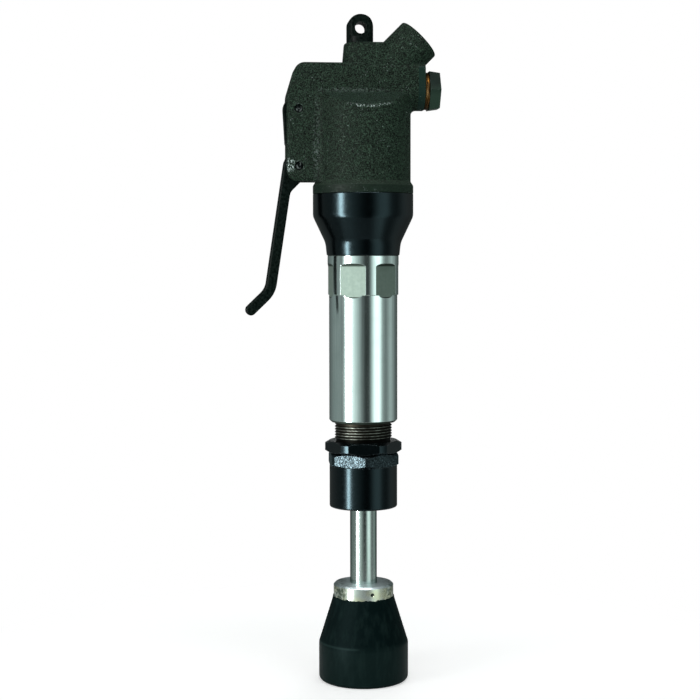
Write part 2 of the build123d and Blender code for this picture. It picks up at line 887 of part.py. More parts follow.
def make_throttle_spring():
    length = x_cap_floor - x_poppet_back - spring_wire_r * 2
    path = Helix(length / spring_turns, length, spring_r)
    section = Plane(origin=path @ 0, z_dir=path % 0) * Circle(spring_wire_r)
    coil = sweep(section, path=path, is_frenet=True)
    place = Plane(origin=(x_poppet_back + spring_wire_r, 0, z_throttle), x_dir=(0, 1, 0), z_dir=(1, 0, 0))
    return place * coil


def lever_line(distance, offset):
    """A point on the lever, by its distance below the pin and its offset towards the barrel."""
    lean = radians(lever_lean)
    x = pin_x - sin(lean) * distance + cos(lean) * offset
    z = z_lever_pin - cos(lean) * distance - sin(lean) * offset
    return (x, z)


def lever_grip_face():
    """The hand grip: a straight strip that bends outward to a round tip."""
    middle = lever_thickness / 2 - lever_boss_r
    run = lever_bend_r * tan(radians(lever_bend / 2))
    corner = lever_line(lever_grip + run, middle)
    end_angle = radians(lever_lean + lever_bend)
    tip_run = lever_tip + run
    tip = (corner[0] - sin(end_angle) * tip_run, corner[1] - cos(end_angle) * tip_run)
    path = FilletPolyline(lever_line(0, middle), corner, tip, radius=[lever_bend_r])
    return trace(path, lever_thickness) + disc(tip, lever_thickness / 2)


def lever_gusset_face():
    """The web that stiffens the grip under the pin boss."""
    inner = lever_thickness - lever_boss_r
    start = lever_line(lever_gusset_start, inner)
    angle = radians(lever_gusset_angle)
    rise = (start[0] + cos(angle) * lever_gusset_length, start[1] + sin(angle) * lever_gusset_length)
    return outline(start, rise, lever_pin_place, lever_line(0, inner - lever_thickness / 2))


def make_throttle_lever():
    face = disc(lever_pin_place, lever_boss_r) + lever_grip_face() + lever_gusset_face()
    foot = lever_line(lever_gusset_start, lever_thickness - lever_boss_r)
    face = fillet(face.vertices().sort_by_distance((*foot, 0))[0], lever_gusset_round)
    root = disc((pin_x + lever_nose_root_offset, z_lever_pin), lever_nose_root_r)
    face += make_hull((disc(lever_nose_place, lever_nose_r) + root).edges())
    lever = slab(face, lever_half_width)
    rims = lever.faces().filter_by(Axis.Y).edges()
    grip = rims.filter_by(lambda edge: edge.center().Z < z_lever_pin - lever_boss_r)
    lever = fillet(grip, lever_edge_round)
    x, z = lever_pin_place
    return lever - bar((x, -slot_half_width, z), (x, slot_half_width, z), pin_r + pin_clearance)


def make_throttle_rocker():
    nose_x, nose_z = lever_nose_place
    face_x = nose_x - lever_nose_r - contact_gap
    tail_low = nose_z - rocker_tail_below_nose
    back_x = pin_x - rocker_boss_r
    tail = outline(
        (back_x, z_rocker_pin),
        (back_x + rocker_tail_tuck, tail_low, rocker_tail_round),
        (face_x, tail_low, rocker_tail_round),
        (face_x, z_rocker_pin),
    )
    head_place = (pin_x + rocker_head_offset, z_throttle)
    head = make_hull((disc(head_place, rocker_head_r) + disc(rocker_pin_place, rocker_head_r)).edges())
    face = disc(rocker_pin_place, rocker_boss_r) + tail + head
    rocker = slab(face, lever_half_width)
    x, z = rocker_pin_place
    return rocker - bar((x, -slot_half_width, z), (x, slot_half_width, z), pin_r + pin_clearance)


def cross_pin(place):
    """A pin with chamfered ends, a little short of the housing's cheeks."""
    pin = across_pin(place, block_half_width - pin_recess)
    return chamfer(pin.faces().filter_by(Axis.Y).edges(), pin_chamfer)


def make_lever_pin():
    return cross_pin(lever_pin_place)


def make_rocker_pin():
    return cross_pin(rocker_pin_place)


pieces = {
    "head_casting": make_head_casting,
    "suspension_eye": make_suspension_eye,
    "inlet_bushing": make_inlet_bushing,
    "inlet_strainer": make_inlet_strainer,
    "throttle_bushing": make_throttle_bushing,
    "throttle_cap": make_throttle_cap,
    "cap_gasket": make_cap_gasket,
    "throttle_spring": make_throttle_spring,
    "throttle_plunger": make_throttle_plunger,
    "throttle_poppet": make_throttle_poppet,
    "poppet_seal": make_poppet_seal,
    "lever_pin": make_lever_pin,
    "rocker_pin": make_rocker_pin,
    "throttle_lever": make_throttle_lever,
    "throttle_rocker": make_throttle_rocker,
    "coupling_sleeve": make_coupling_sleeve,
    "valve_chest": make_valve_chest,
    "valve_cover": make_valve_cover,
    "valve_dowels": dowel_bars,
    "chest_gasket": make_chest_gasket,
    "main_valve": make_main_valve,
    "cylinder_barrel": make_cylinder_barrel,
    "lock_nut": make_lock_nut,
    "gland_nut": make_gland_nut,
    "rod_bushing": make_rod_bushing,
    "rod_packing": make_rod_packing,
    "rod_wiper": make_rod_wiper,
    "piston_rod": make_piston_rod,
    "piston_rings": make_piston_rings,
    "butt_hub": make_butt_hub,
    "butt_pin": make_butt_pin,
    "rubber_butt": make_rubber_butt,
}

os.makedirs("parts", exist_ok=True)
for name, make in pieces.items():
    export_step(make(), f"parts/{name}.step")
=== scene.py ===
import json
import math

import bmesh
import bpy
from mathutils import Matrix, Quaternion, Vector

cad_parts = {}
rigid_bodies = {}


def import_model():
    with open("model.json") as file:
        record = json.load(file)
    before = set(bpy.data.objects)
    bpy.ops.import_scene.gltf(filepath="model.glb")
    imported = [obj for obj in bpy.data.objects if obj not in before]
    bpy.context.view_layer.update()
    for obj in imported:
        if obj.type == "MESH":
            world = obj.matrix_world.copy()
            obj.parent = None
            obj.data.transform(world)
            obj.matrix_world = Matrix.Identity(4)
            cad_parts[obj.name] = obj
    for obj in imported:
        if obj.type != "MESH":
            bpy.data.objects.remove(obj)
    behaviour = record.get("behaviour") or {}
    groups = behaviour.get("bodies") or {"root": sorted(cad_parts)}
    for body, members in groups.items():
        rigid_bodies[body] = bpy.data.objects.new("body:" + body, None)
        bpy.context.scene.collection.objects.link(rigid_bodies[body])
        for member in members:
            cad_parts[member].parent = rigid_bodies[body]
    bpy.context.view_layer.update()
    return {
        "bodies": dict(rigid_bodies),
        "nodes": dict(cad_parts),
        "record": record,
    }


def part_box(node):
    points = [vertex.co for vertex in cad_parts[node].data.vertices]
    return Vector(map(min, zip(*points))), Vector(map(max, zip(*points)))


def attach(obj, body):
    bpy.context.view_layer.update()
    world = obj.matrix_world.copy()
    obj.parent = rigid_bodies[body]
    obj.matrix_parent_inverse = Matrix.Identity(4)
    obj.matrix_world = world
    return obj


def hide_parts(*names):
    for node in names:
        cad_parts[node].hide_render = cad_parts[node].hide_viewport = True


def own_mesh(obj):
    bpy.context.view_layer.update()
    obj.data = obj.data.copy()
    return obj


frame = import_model()
nodes = frame["nodes"]
record = frame["record"]
MM = 0.001
WHITE = (1.0, 1.0, 1.0, 1.0)

# Camera, as the photograph sees the tool
CAMERA_YAW = 6.0
CAMERA_DISTANCE = 1.0
CAMERA_HEIGHT = 0.2786
CAMERA_ROLL = -0.1
AIM_HEIGHT = 0.2168
AIM_SIDE = -0.0086
CAMERA_LENS = 79.1
SENSOR = 36.0

yaw = math.radians(CAMERA_YAW)
camera_right = Vector((math.cos(yaw), -math.sin(yaw), 0.0))
to_camera = Vector((-math.sin(yaw), -math.cos(yaw), 0.0))


def make_camera():
    """A long lens a little left of the front, above the tool's middle and aimed at it."""
    aim = camera_right * AIM_SIDE + Vector((0.0, 0.0, AIM_HEIGHT))
    place = camera_right * AIM_SIDE + to_camera * CAMERA_DISTANCE + Vector((0.0, 0.0, CAMERA_HEIGHT))
    data = bpy.data.cameras.new("camera")
    data.lens = CAMERA_LENS
    data.sensor_width = SENSOR
    camera = bpy.data.objects.new("camera", data)
    camera.location = place
    camera.rotation_mode = "QUATERNION"
    roll = Quaternion((0.0, 0.0, 1.0), math.radians(CAMERA_ROLL))
    camera.rotation_quaternion = (aim - place).to_track_quat("-Z", "Y") @ roll
    bpy.context.collection.objects.link(camera)
    bpy.context.scene.camera = camera


make_camera()
bpy.context.scene.view_settings.view_transform = "Standard"

# Places on the tool, in millimetres, from the frame where a piece's box gives them
cap_low, cap_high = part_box("throttle_cap")
CAP_Z = (cap_low.z + cap_high.z) / (2 * MM)
CAP_FADE = 4.0
LOCK_TOP_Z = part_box("lock_nut")[1].z / MM
COLLAR_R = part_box("cylinder_barrel")[1].x / MM
COLLAR_Z = 252.8
BARREL_R = 22.2
BARREL_WALL = 4.0
BARREL_Z = 170.2
FLAT_LOW_Z = 250.2
FLAT_TOP_Z = 273.3
THREAD_ROOT_R = 17.7
THREAD_CREST_R = 18.6
GLAND_HEX_Z = 141.6
HEX_MARGIN = 0.3
BOSS_BAND_X = 34.6
BOSS_TOP_Z = 399.0
SHOULDER_TOP_Z = 380.0
RIM_TOP_Z = 325.7
RIM_STARTS = 1.0
RIM_FULL = 2.6
STEP_REACH = 2.0
BUTT_SIDE_Z = 26.0

# Wear and painted light, in millimetres: bare specks painting glints on the head's front shoulder, the
# flange's paler front, and a painted highlight on the butt's crease
SHOULDER_GLINT_X = 1.0
SHOULDER_GLINT_HALF = 16.0
SHOULDER_GLINT_FADE = 8.0
SHOULDER_GLINT_LOW_Z = 366.0
SHOULDER_GLINT_RISE = 2.0
FLANGE_FRONT_X = 1.0
FLANGE_FRONT_HALF = 9.0
FLANGE_FRONT_FADE = 6.0
CREASE_HIGHLIGHT_END_X = -5.0
CREASE_HIGHLIGHT_FADE = 4.0

# Rubbed places of the head, some of them painted glints: across and up from the lever pin, half width
# and height, a patch's amount
BOSS_RIM = (81.0, 83.0, 14.0, 14.0)
WEAR_AND_GLINT_PATCHES = (
    (-5.5, 0.5, 4.5, 5.0, 1.0),
    # These three paint glints: a tall highlight down the fillet from the cheek into the round body, and
    # a light line along the seam where the valve block meets the round body's top
    (11.0, 16.0, 2.8, 32.0, 0.14),
    (11.0, 4.0, 2.4, 9.0, 0.25),
    (34.0, 48.0, 27.0, 2.0, 0.2),
)


class Nodes:
    """Short calls that add nodes to a tree and join them."""

    def __init__(self, tree):
        self.tree = tree

    def feed(self, socket, value):
        """Link an output to the socket, or set the socket to a plain value."""
        if isinstance(value, bpy.types.NodeSocket):
            self.tree.links.new(value, socket)
        else:
            socket.default_value = value

    def add(self, kind, inputs=None, **settings):
        """A new node with its settings and inputs."""
        made = self.tree.nodes.new(kind)
        for key, value in settings.items():
            setattr(made, key, value)
        for socket, value in (inputs or {}).items():
            self.feed(made.inputs[socket], value)
        return made

    def maths(self, operation, first, second=0.0):
        """The result of one operation on the values."""
        return self.add("ShaderNodeMath", {0: first, 1: second}, operation=operation).outputs[0]

    def plus(self, first, second):
        """The sum of the values."""
        return self.maths("ADD", first, second)

    def times(self, first, *others):
        """The product of the values."""
        for other in others:
            first = self.maths("MULTIPLY", first, other)
        return first

    def most(self, first, *others):
        """The largest of the values."""
        for other in others:
            first = self.maths("MAXIMUM", first, other)
        return first

    def above(self, value, limit):
        """1 where the value is over the limit, and else 0."""
        return self.maths("GREATER_THAN", value, limit)

    def below(self, value, limit):
        """1 where the value is under the limit, and else 0."""
        return self.maths("LESS_THAN", value, limit)

    def apart(self, value, middle):
        """How far the value is from a middle one, either way."""
        return self.maths("ABSOLUTE", self.maths("SUBTRACT", value, middle))

    def scaled(self, vector, shares):
        """The vector with each of its coordinates multiplied by its own share."""
        return self.add("ShaderNodeVectorMath", {0: vector, 1: shares}, operation="MULTIPLY").outputs[0]

    def length(self, vector):
        """The vector's length."""
        return self.add("ShaderNodeVectorMath", {0: vector}, operation="LENGTH").outputs["Value"]

    def dot(self, first, second):
        """The dot product of two vectors."""
        made = self.add("ShaderNodeVectorMath", {0: first, 1: second}, operation="DOT_PRODUCT")
        return made.outputs["Value"]

    def span(self, value, low, high, start=0.0, end=1.0, interpolation="LINEAR"):
        """Runs from start to end as the value goes from low to high, and stays level beyond them."""
        inputs = {"Value": value, "From Min": low, "From Max": high, "To Min": start, "To Max": end}
        made = self.add("ShaderNodeMapRange", inputs, interpolation_type=interpolation)
        return made.outputs["Result"]

    def ray(self, kind):
        """1 for rays of this kind, and else 0."""
        return self.add("ShaderNodeLightPath").outputs[kind]

    def background(self, colour):
        """A shader of this colour for the world."""
        return self.add("ShaderNodeBackground", {"Color": colour}).outputs[0]

    def mix(self, amount, first, second):
        """A blend of two shaders."""
        return self.add("ShaderNodeMixShader", {0: amount, 1: first, 2: second}).outputs[0]


# Sockets of a Mix node for colours
MIX_AMOUNT = 0
MIX_FIRST = 6
MIX_SECOND = 7
MIX_RESULT = 2

# Worn edges: samples of the rounded normal, and its cosine to the true one as wear starts and is full
EDGE_SAMPLES = 4
EDGE_STARTS = 0.985
EDGE_FULL = 0.75

# Noise: its middle, and the levels between which a finish wanders from one value to another
NOISE_MIDDLE = 0.5
WANDER_LOW = 0.3
WANDER_HIGH = 0.7

# Oil on the barrel's thread, going black in painted shade just above the lock nut: how far above the nut
# the shade starts and is full
OIL_BROWN = (0.022, 0.020, 0.015)
NUT_SHADE_BLACK = (0.004, 0.004, 0.0035)
NUT_SHADE_STARTS = 4.0
NUT_SHADE_FULL = 1.5

# Turn of a lathe's highlights, as a share of a whole turn
LATHE_TURN = 0.25


class Finish(Nodes):
    """A material on one Principled shader. Sizes and places are in millimetres."""

    def __init__(self, name, **constants):
        self.material = bpy.data.materials.new(name)
        self.material.use_nodes = True
        super().__init__(self.material.node_tree)
        self.shader = self.tree.nodes["Principled BSDF"]
        for socket, value in constants.items():
            self.set(socket.replace("_", " "), value)
        self.place = self.add("ShaderNodeTexCoord").outputs["Object"]

    def set(self, socket, value):
        """Feed one of the shader's own sockets."""
        self.feed(self.shader.inputs[socket], value)

    def blend(self, amount, first, second, strength=1.0):
        """The first colour, or the second where the amount is 1, at this strength."""
        if strength != 1.0:
            amount = self.times(amount, strength)
        made = self.add("ShaderNodeMix", {MIX_AMOUNT: amount}, data_type="RGBA")
        for socket, colour in ((MIX_FIRST, first), (MIX_SECOND, second)):
            if isinstance(colour, tuple):
                colour = (*colour, 1.0)
            self.feed(made.inputs[socket], colour)
        return made.outputs[MIX_RESULT]

    def axis(self, name):
        """One coordinate of the surface."""
        split = self.add("ShaderNodeSeparateXYZ", {0: self.place})
        return self.times(split.outputs[name], 1 / MM)

    def radius(self):
        """Distance from the tool's axis."""
        flat = self.scaled(self.place, (1.0, 1.0, 0.0))
        return self.times(self.length(flat), 1 / MM)

    def rise(self):
        """How far the surface faces up, from -1 to 1."""
        normal = self.add("ShaderNodeNewGeometry").outputs["Normal"]
        return self.add("ShaderNodeSeparateXYZ", {0: normal}).outputs["Z"]

    def noise(self, size, detail, stretch=(1.0, 1.0, 1.0), distortion=0.0):
        """Noise with features of about this size."""
        inputs = {
            "Vector": self.scaled(self.place, stretch),
            "Scale": 1 / (size * MM),
            "Detail": detail,
            "Distortion": distortion,
        }
        return self.add("ShaderNodeTexNoise", inputs).outputs["Fac"]

    def patches(self, size, detail, low, high, **shape):
        """Noise cut to run from 0 at its low level to 1 at its high one."""
        return self.span(self.noise(size, detail, **shape), low, high)

    def wander(self, size, detail, start, end, **shape):
        """A value that wanders between two others."""
        return self.span(self.noise(size, detail, **shape), WANDER_LOW, WANDER_HIGH, start, end)

    def worms(self, size, width):
        """Winding ridges, 1 along their crests, about this size apart."""
        ridges = self.noise(size, detail=1.0, distortion=0.4)
        return self.span(self.apart(ridges, NOISE_MIDDLE), low=0.0, high=width, start=1.0, end=0.0)

    def round_edges(self, radius):
        """The normal of the piece with its edges rounded."""
        return self.add("ShaderNodeBevel", {"Radius": radius * MM}, samples=EDGE_SAMPLES).outputs[0]

    def edge(self, radius):
        """Near 1 on outer and inner edges of the piece, 0 on its faces."""
        true = self.add("ShaderNodeNewGeometry").outputs["Normal"]
        return self.span(self.dot(self.round_edges(radius), true), EDGE_STARTS, EDGE_FULL)

    def rub(self, radius, size, detail, low, high):
        """Worn patches along the edges."""
        return self.times(self.edge(radius), self.patches(size, detail, low, high))

    def shoulders(self):
        """Near 1 where the surface rounds over from a wall to a top."""
        rise = self.rise()
        return self.times(self.span(rise, low=0.12, high=0.3), self.span(rise, low=0.7, high=0.45))

    def near(self, centre, across, up, half_x, half_z):
        """1 about a place off the centre in the side view, 0 beyond its half width and height."""
        x = self.times(self.maths("SUBTRACT", self.axis("X"), centre.x + across), 1 / half_x)
        z = self.times(self.maths("SUBTRACT", self.axis("Z"), centre.z + up), 1 / half_z)
        reach = self.plus(self.times(x, x), self.times(z, z))
        return self.span(reach, low=1.0, high=0.3)

    def bump(self, height, depth, strength, under=None):
        """Relief of this depth, over another relief if one is given."""
        inputs = {"Height": height, "Distance": depth * MM, "Strength": strength}
        made = self.add("ShaderNodeBump", inputs)
        if under is not None:
            self.feed(made.inputs["Normal"], under)
        return made.outputs["Normal"]

    def oil(self):
        """Brown oil on the thread, turned black by painted shade just above the lock nut."""
        nut_shade = self.span(self.axis("Z"), LOCK_TOP_Z + NUT_SHADE_STARTS, LOCK_TOP_Z + NUT_SHADE_FULL)
        return self.blend(nut_shade, OIL_BROWN, NUT_SHADE_BLACK)

    def turned(self, amount):
        """Highlights drawn out along the tool by the lathe's fine rings."""
        self.set("Anisotropic", amount)
        self.set("Anisotropic Rotation", LATHE_TURN)
        tangent = self.add("ShaderNodeTangent", direction_type="RADIAL", axis="Z")
        self.set("Tangent", tangent.outputs[0])


def wear_and_glints(look, specks, height):
    """Where the head is rubbed bare: handled edges, the front shoulder and the rubbed places. The
    shoulder's specks and some of the places are painted glints, put where highlights fall.
    """
    low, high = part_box("lever_pin")
    pin = (low + high) / (2 * MM)
    edges = look.times(look.edge(radius=1.2), look.span(specks, low=0.54, high=0.62))
    edges = look.most(edges, look.span(specks, low=0.68, high=0.76))
    touched = look.patches(size=9.0, detail=2.0, low=0.46, high=0.64)
    handled = look.most(look.near(pin, *BOSS_RIM), touched)
    # Bare specks across the front shoulder: painted glints where the top light catches it
    front = look.times(
        look.shoulders(),
        look.span(look.apart(look.axis("X"), SHOULDER_GLINT_X), SHOULDER_GLINT_HALF, SHOULDER_GLINT_HALF - SHOULDER_GLINT_FADE),
        look.span(height, SHOULDER_GLINT_LOW_Z, SHOULDER_GLINT_LOW_Z + SHOULDER_GLINT_RISE),
        look.below(height, SHOULDER_TOP_Z),
        look.span(specks, low=0.53, high=0.61),
    )
    worn = look.most(look.times(edges, handled), front)
    for *patch, amount in WEAR_AND_GLINT_PATCHES:
        speckled = look.span(specks, low=0.50, high=0.60, end=amount)
        worn = look.most(worn, look.times(look.near(pin, *patch), speckled))
    return worn


def wrinkle_paint():
    """Dark green wrinkle enamel, smooth on its rim and on the throttle boss's end. Painted highlights
    lie on its crests over painted shade in its hollows and along its rim step, with dust and painted top
    light on its upward faces.
    """
    shade = (0.0009, 0.0026, 0.0015)
    base = (0.0016, 0.0040, 0.0023)
    # crest: painted highlight on the wrinkles' crests; the very dark shade and base paint the hollows'
    # shade
    crest = (0.044, 0.081, 0.053)
    smooth_rim = (0.0110, 0.0210, 0.0145)
    smooth_boss = (0.0125, 0.0310, 0.0240)
    rim_step_highlight = (0.040, 0.058, 0.042)
    dust_and_top_light = (0.050, 0.088, 0.070)
    bare = (0.34, 0.41, 0.39)
    line_share = 0.3
    lump_share = 0.9
    bare_metal = 0.6
    look = Finish("wrinkle_paint", IOR=1.16)
    height = look.axis("Z")
    specks = look.noise(size=1.1, detail=2.0)
    lines = look.times(look.worms(size=1.5, width=0.10), line_share)
    lumps = look.patches(size=0.74, detail=1.0, low=0.46, high=0.66, distortion=0.5)
    crests = look.plus(lines, look.times(lumps, lump_share))
    colour = look.blend(look.patches(size=16.0, detail=3.0, low=0.35, high=0.65), shade, base)
    # Crests painted light over the hollows' painted shade
    colour = look.blend(crests, colour, crest)
    rim = look.span(height, RIM_TOP_Z - RIM_STARTS, RIM_TOP_Z - RIM_FULL)
    colour = look.blend(rim, colour, smooth_rim, strength=0.75)
    band = look.times(look.above(look.axis("X"), BOSS_BAND_X), look.below(height, BOSS_TOP_Z))
    colour = look.blend(band, colour, smooth_boss)
    # Painted highlight along the rounded step over the rim, where it turns up to the light
    step = look.times(look.shoulders(), look.below(height, RIM_TOP_Z + STEP_REACH))
    colour = look.blend(step, colour, rim_step_highlight, strength=0.5)
    # Upward faces paler in specks: dust, and painted top light on the sloped top above the shoulder
    upward = look.span(look.rise(), low=0.6, high=0.85)
    dusty = look.times(upward, look.span(specks, low=0.42, high=0.60))
    colour = look.blend(dusty, colour, dust_and_top_light, strength=0.4)
    # Bare metal specks: wear on handled edges, and painted glints on the shoulder, the cheek's fillet
    # and the ledge
    worn = wear_and_glints(look, specks, height)
    look.set("Base Color", look.blend(worn, colour, bare))
    look.set("Metallic", look.times(worn, bare_metal))
    look.set("Roughness", look.span(crests, low=0.0, high=0.8, start=0.65, end=0.24))
    wrinkled = look.maths("SUBTRACT", 1.0, band)
    relief = look.times(crests, wrinkled, look.span(rim, low=0.0, high=1.0, start=1.0, end=0.25))
    look.set("Normal", look.bump(relief, depth=0.30, strength=0.9, under=look.round_edges(radius=0.6)))
    return look.material


def cap_paint():
    """Smooth dark green enamel, with painted light from below on the lower half of the throttle cap."""
    shade = (0.0095, 0.0195, 0.0155)
    base = (0.0135, 0.0270, 0.0210)
    pale = (0.031, 0.058, 0.041)
    bare = (0.16, 0.18, 0.17)
    look = Finish("cap_paint", IOR=1.15)
    cloud = look.patches(size=4.0, detail=3.0, low=0.35, high=0.65)
    # Lower half paler: painted light from below
    lower = look.span(look.axis("Z"), CAP_Z + CAP_FADE, CAP_Z - CAP_FADE)
    colour = look.blend(lower, look.blend(cloud, shade, base), pale)
    rub = look.rub(radius=0.7, size=1.5, detail=3.0, low=0.45, high=0.65)
    look.set("Base Color", look.blend(rub, colour, bare, strength=0.7))
    look.set("Roughness", look.span(cloud, low=0.0, high=1.0, start=0.42, end=0.55))
    grain = look.noise(size=0.9, detail=3.0)
    look.set("Normal", look.bump(grain, depth=0.08, strength=0.6, under=look.round_edges(radius=0.4)))
    return look.material


def black_satin():
    """Oxide-blackened forging, rubbed grey along its edges."""
    dark = (0.0002, 0.0026, 0.0017)
    light = (0.0062, 0.0122, 0.0098)
    bare = (0.12, 0.14, 0.14)
    look = Finish("black_satin", IOR=1.13)
    cloud = look.patches(size=1.5, detail=2.0, low=0.36, high=0.64)
    rub = look.rub(radius=0.9, size=2.4, detail=3.0, low=0.48, high=0.66)
    look.set("Base Color", look.blend(rub, look.blend(cloud, dark, light), bare, strength=0.35))
    look.set("Roughness", look.span(cloud, low=0.0, high=1.0, start=0.36, end=0.52))
    grain = look.noise(size=0.7, detail=3.0)
    look.set("Normal", look.bump(grain, depth=0.04, strength=0.5, under=look.round_edges(radius=0.6)))
    return look.material


def black_gloss(name, speckled_above=None):
    """Glossy blued black over turned steel, worn to bare specks above a height where one is given."""
    dark = (0.0001, 0.0005, 0.0007)
    light = (0.0004, 0.0010, 0.0012)
    rubbed = (0.17, 0.20, 0.21)
    speckled = (0.046, 0.064, 0.071)
    look = Finish(name, IOR=1.36, Specular_Tint=(0.58, 0.89, 1.0, 1.0))
    colour = look.blend(look.patches(size=9.0, detail=3.0, low=0.35, high=0.65), dark, light)
    rub = look.rub(radius=0.6, size=1.2, detail=3.0, low=0.42, high=0.62)
    colour = look.blend(rub, colour, rubbed, strength=0.6)
    look.set("Roughness", look.wander(size=2.0, detail=3.0, start=0.17, end=0.23))
    rings = look.noise(size=0.5, detail=2.0, stretch=(0.02, 0.02, 1.0))
    normal = look.bump(rings, depth=0.004, strength=0.5, under=look.round_edges(radius=0.35))
    if speckled_above is not None:
        face = look.above(look.axis("Z"), speckled_above)
        bare = look.times(face, look.patches(size=0.9, detail=2.0, low=0.43, high=0.56))
        colour = look.blend(bare, colour, speckled)
        look.set("Metallic", bare)
        grain = look.times(look.noise(size=1.1, detail=2.0), face)
        normal = look.bump(grain, depth=0.36, strength=1.0, under=normal)
    look.set("Base Color", colour)
    look.set("Normal", normal)
    return look.material


def ground_steel():
    """The rod's ground steel, greyer than the barrel's turned skin."""
    dark = (0.40, 0.48, 0.445)
    light = (0.50, 0.58, 0.55)
    look = Finish("ground_steel", Metallic=1.0, Specular_Tint=(0.10, 0.18, 0.15, 1.0))
    streak = look.wander(size=1.0, detail=3.0, start=0.0, end=1.0, stretch=(1.0, 1.0, 0.05))
    look.set("Base Color", look.blend(streak, dark, light))
    look.set("Roughness", look.wander(size=1.5, detail=3.0, start=0.18, end=0.23))
    grain = look.noise(size=0.4, detail=2.0)
    look.set("Normal", look.bump(grain, depth=0.003, strength=0.5, under=look.round_edges(radius=0.3)))
    look.turned(amount=0.4)
    return look.material


def pin_steel():
    """Blackened pin ends with hammered bare patches, which also paint the glint on their ends."""
    dark = (0.015, 0.020, 0.020)
    bright = (0.38, 0.42, 0.41)
    look = Finish("pin_steel", Metallic=1.0, Roughness=0.3)
    # Bare metal patches: hammer wear, and painted glints on the pin ends
    hammered_and_glint_spots = look.patches(size=2.0, detail=2.0, low=0.50, high=0.60)
    look.set("Base Color", look.blend(hammered_and_glint_spots, dark, bright))
    look.set("Normal", look.bump(look.noise(size=1.4, detail=2.0), depth=0.25, strength=0.9))
    return look.material


def milled_flats(look, height):
    """1 on the barrel's wrench flats, which lie just inside its round skin and outside its bore."""
    step = 0.05
    barrel_skin = BARREL_R - 0.05
    collar_skin = COLLAR_R - 0.06
    skin = look.span(height, COLLAR_Z - step, COLLAR_Z + step, barrel_skin, collar_skin)
    radius = look.radius()
    return look.times(look.below(radius, skin), look.above(radius, BARREL_R - BARREL_WALL))


def bright_steel():
    """Fine-turned steel, with duller milled flats, faint stains and an oily thread."""
    dark = (0.68, 0.80, 0.78)
    light = (0.78, 0.89, 0.87)
    stained = (0.50, 0.60, 0.56)
    mill_dark = (0.165, 0.215, 0.185)
    mill_light = (0.235, 0.295, 0.26)
    run_out_shade = (0.045, 0.060, 0.050)
    mill_dulling = 0.54
    oil_dulling = 0.4
    low_run_out = FLAT_LOW_Z + 1.5
    top_run_out = FLAT_TOP_Z - 2.0
    fade = 0.2
    shoulder_edge = 0.3
    look = Finish("bright_steel", Metallic=1.0)
    height = look.axis("Z")
    streak = look.wander(size=1.2, detail=3.0, start=0.0, end=1.0, stretch=(1.0, 1.0, 0.03))
    stain = look.patches(size=11.0, detail=4.0, low=0.5, high=0.75)
    colour = look.blend(stain, look.blend(streak, dark, light), stained, strength=0.2)
    milled = milled_flats(look, height)
    mill_colour = look.blend(look.noise(size=2.0, detail=3.0), mill_dark, mill_light)
    colour = look.blend(milled, colour, mill_colour)
    # Painted shade at the flats' ends, where they run out into the round skin
    low_end = look.span(height, low_run_out + fade, low_run_out - fade)
    top_end = look.span(height, top_run_out - fade, top_run_out + fade)
    colour = look.blend(look.times(milled, look.plus(low_end, top_end)), colour, run_out_shade)
    oily = look.below(height, BARREL_Z - shoulder_edge)
    look.set("Base Color", look.blend(oily, colour, look.oil()))
    rough = look.wander(size=1.5, detail=3.0, start=0.14, end=0.17, stretch=(1.0, 1.0, 0.05))
    dull = look.most(look.times(milled, mill_dulling), look.times(oily, oil_dulling))
    look.set("Roughness", look.plus(rough, dull))
    rings = look.noise(size=0.35, detail=2.0, stretch=(0.01, 0.01, 1.0))
    look.set("Normal", look.bump(rings, depth=0.0025, strength=0.5, under=look.round_edges(radius=0.35)))
    look.turned(amount=0.35)
    return look.material


def oily_thread():
    """Cut thread, brown with oil in its roots and bare on its crests, but not in the painted shade just
    above the lock nut.
    """
    bare = (0.22, 0.24, 0.21)
    crest_starts = 0.14
    crest_full = 0.02
    clear_starts = 1.0
    clear_full = 3.0
    look = Finish("oily_thread", Metallic=1.0)
    crest = look.span(look.radius(), THREAD_CREST_R - crest_starts, THREAD_CREST_R - crest_full)
    # Crests stay dark just above the lock nut, in its painted shade
    clear = look.span(look.axis("Z"), LOCK_TOP_Z + clear_starts, LOCK_TOP_Z + clear_full)
    patch = look.span(look.noise(size=3.0, detail=3.0), low=0.4, high=0.6, start=0.25, end=0.9)
    look.set("Base Color", look.blend(look.times(crest, clear, patch), look.oil(), bare))
    look.set("Roughness", look.wander(size=0.8, detail=3.0, start=0.38, end=0.55))
    look.set("Normal", look.bump(look.noise(size=0.5, detail=3.0), depth=0.02, strength=0.5))
    return look.material


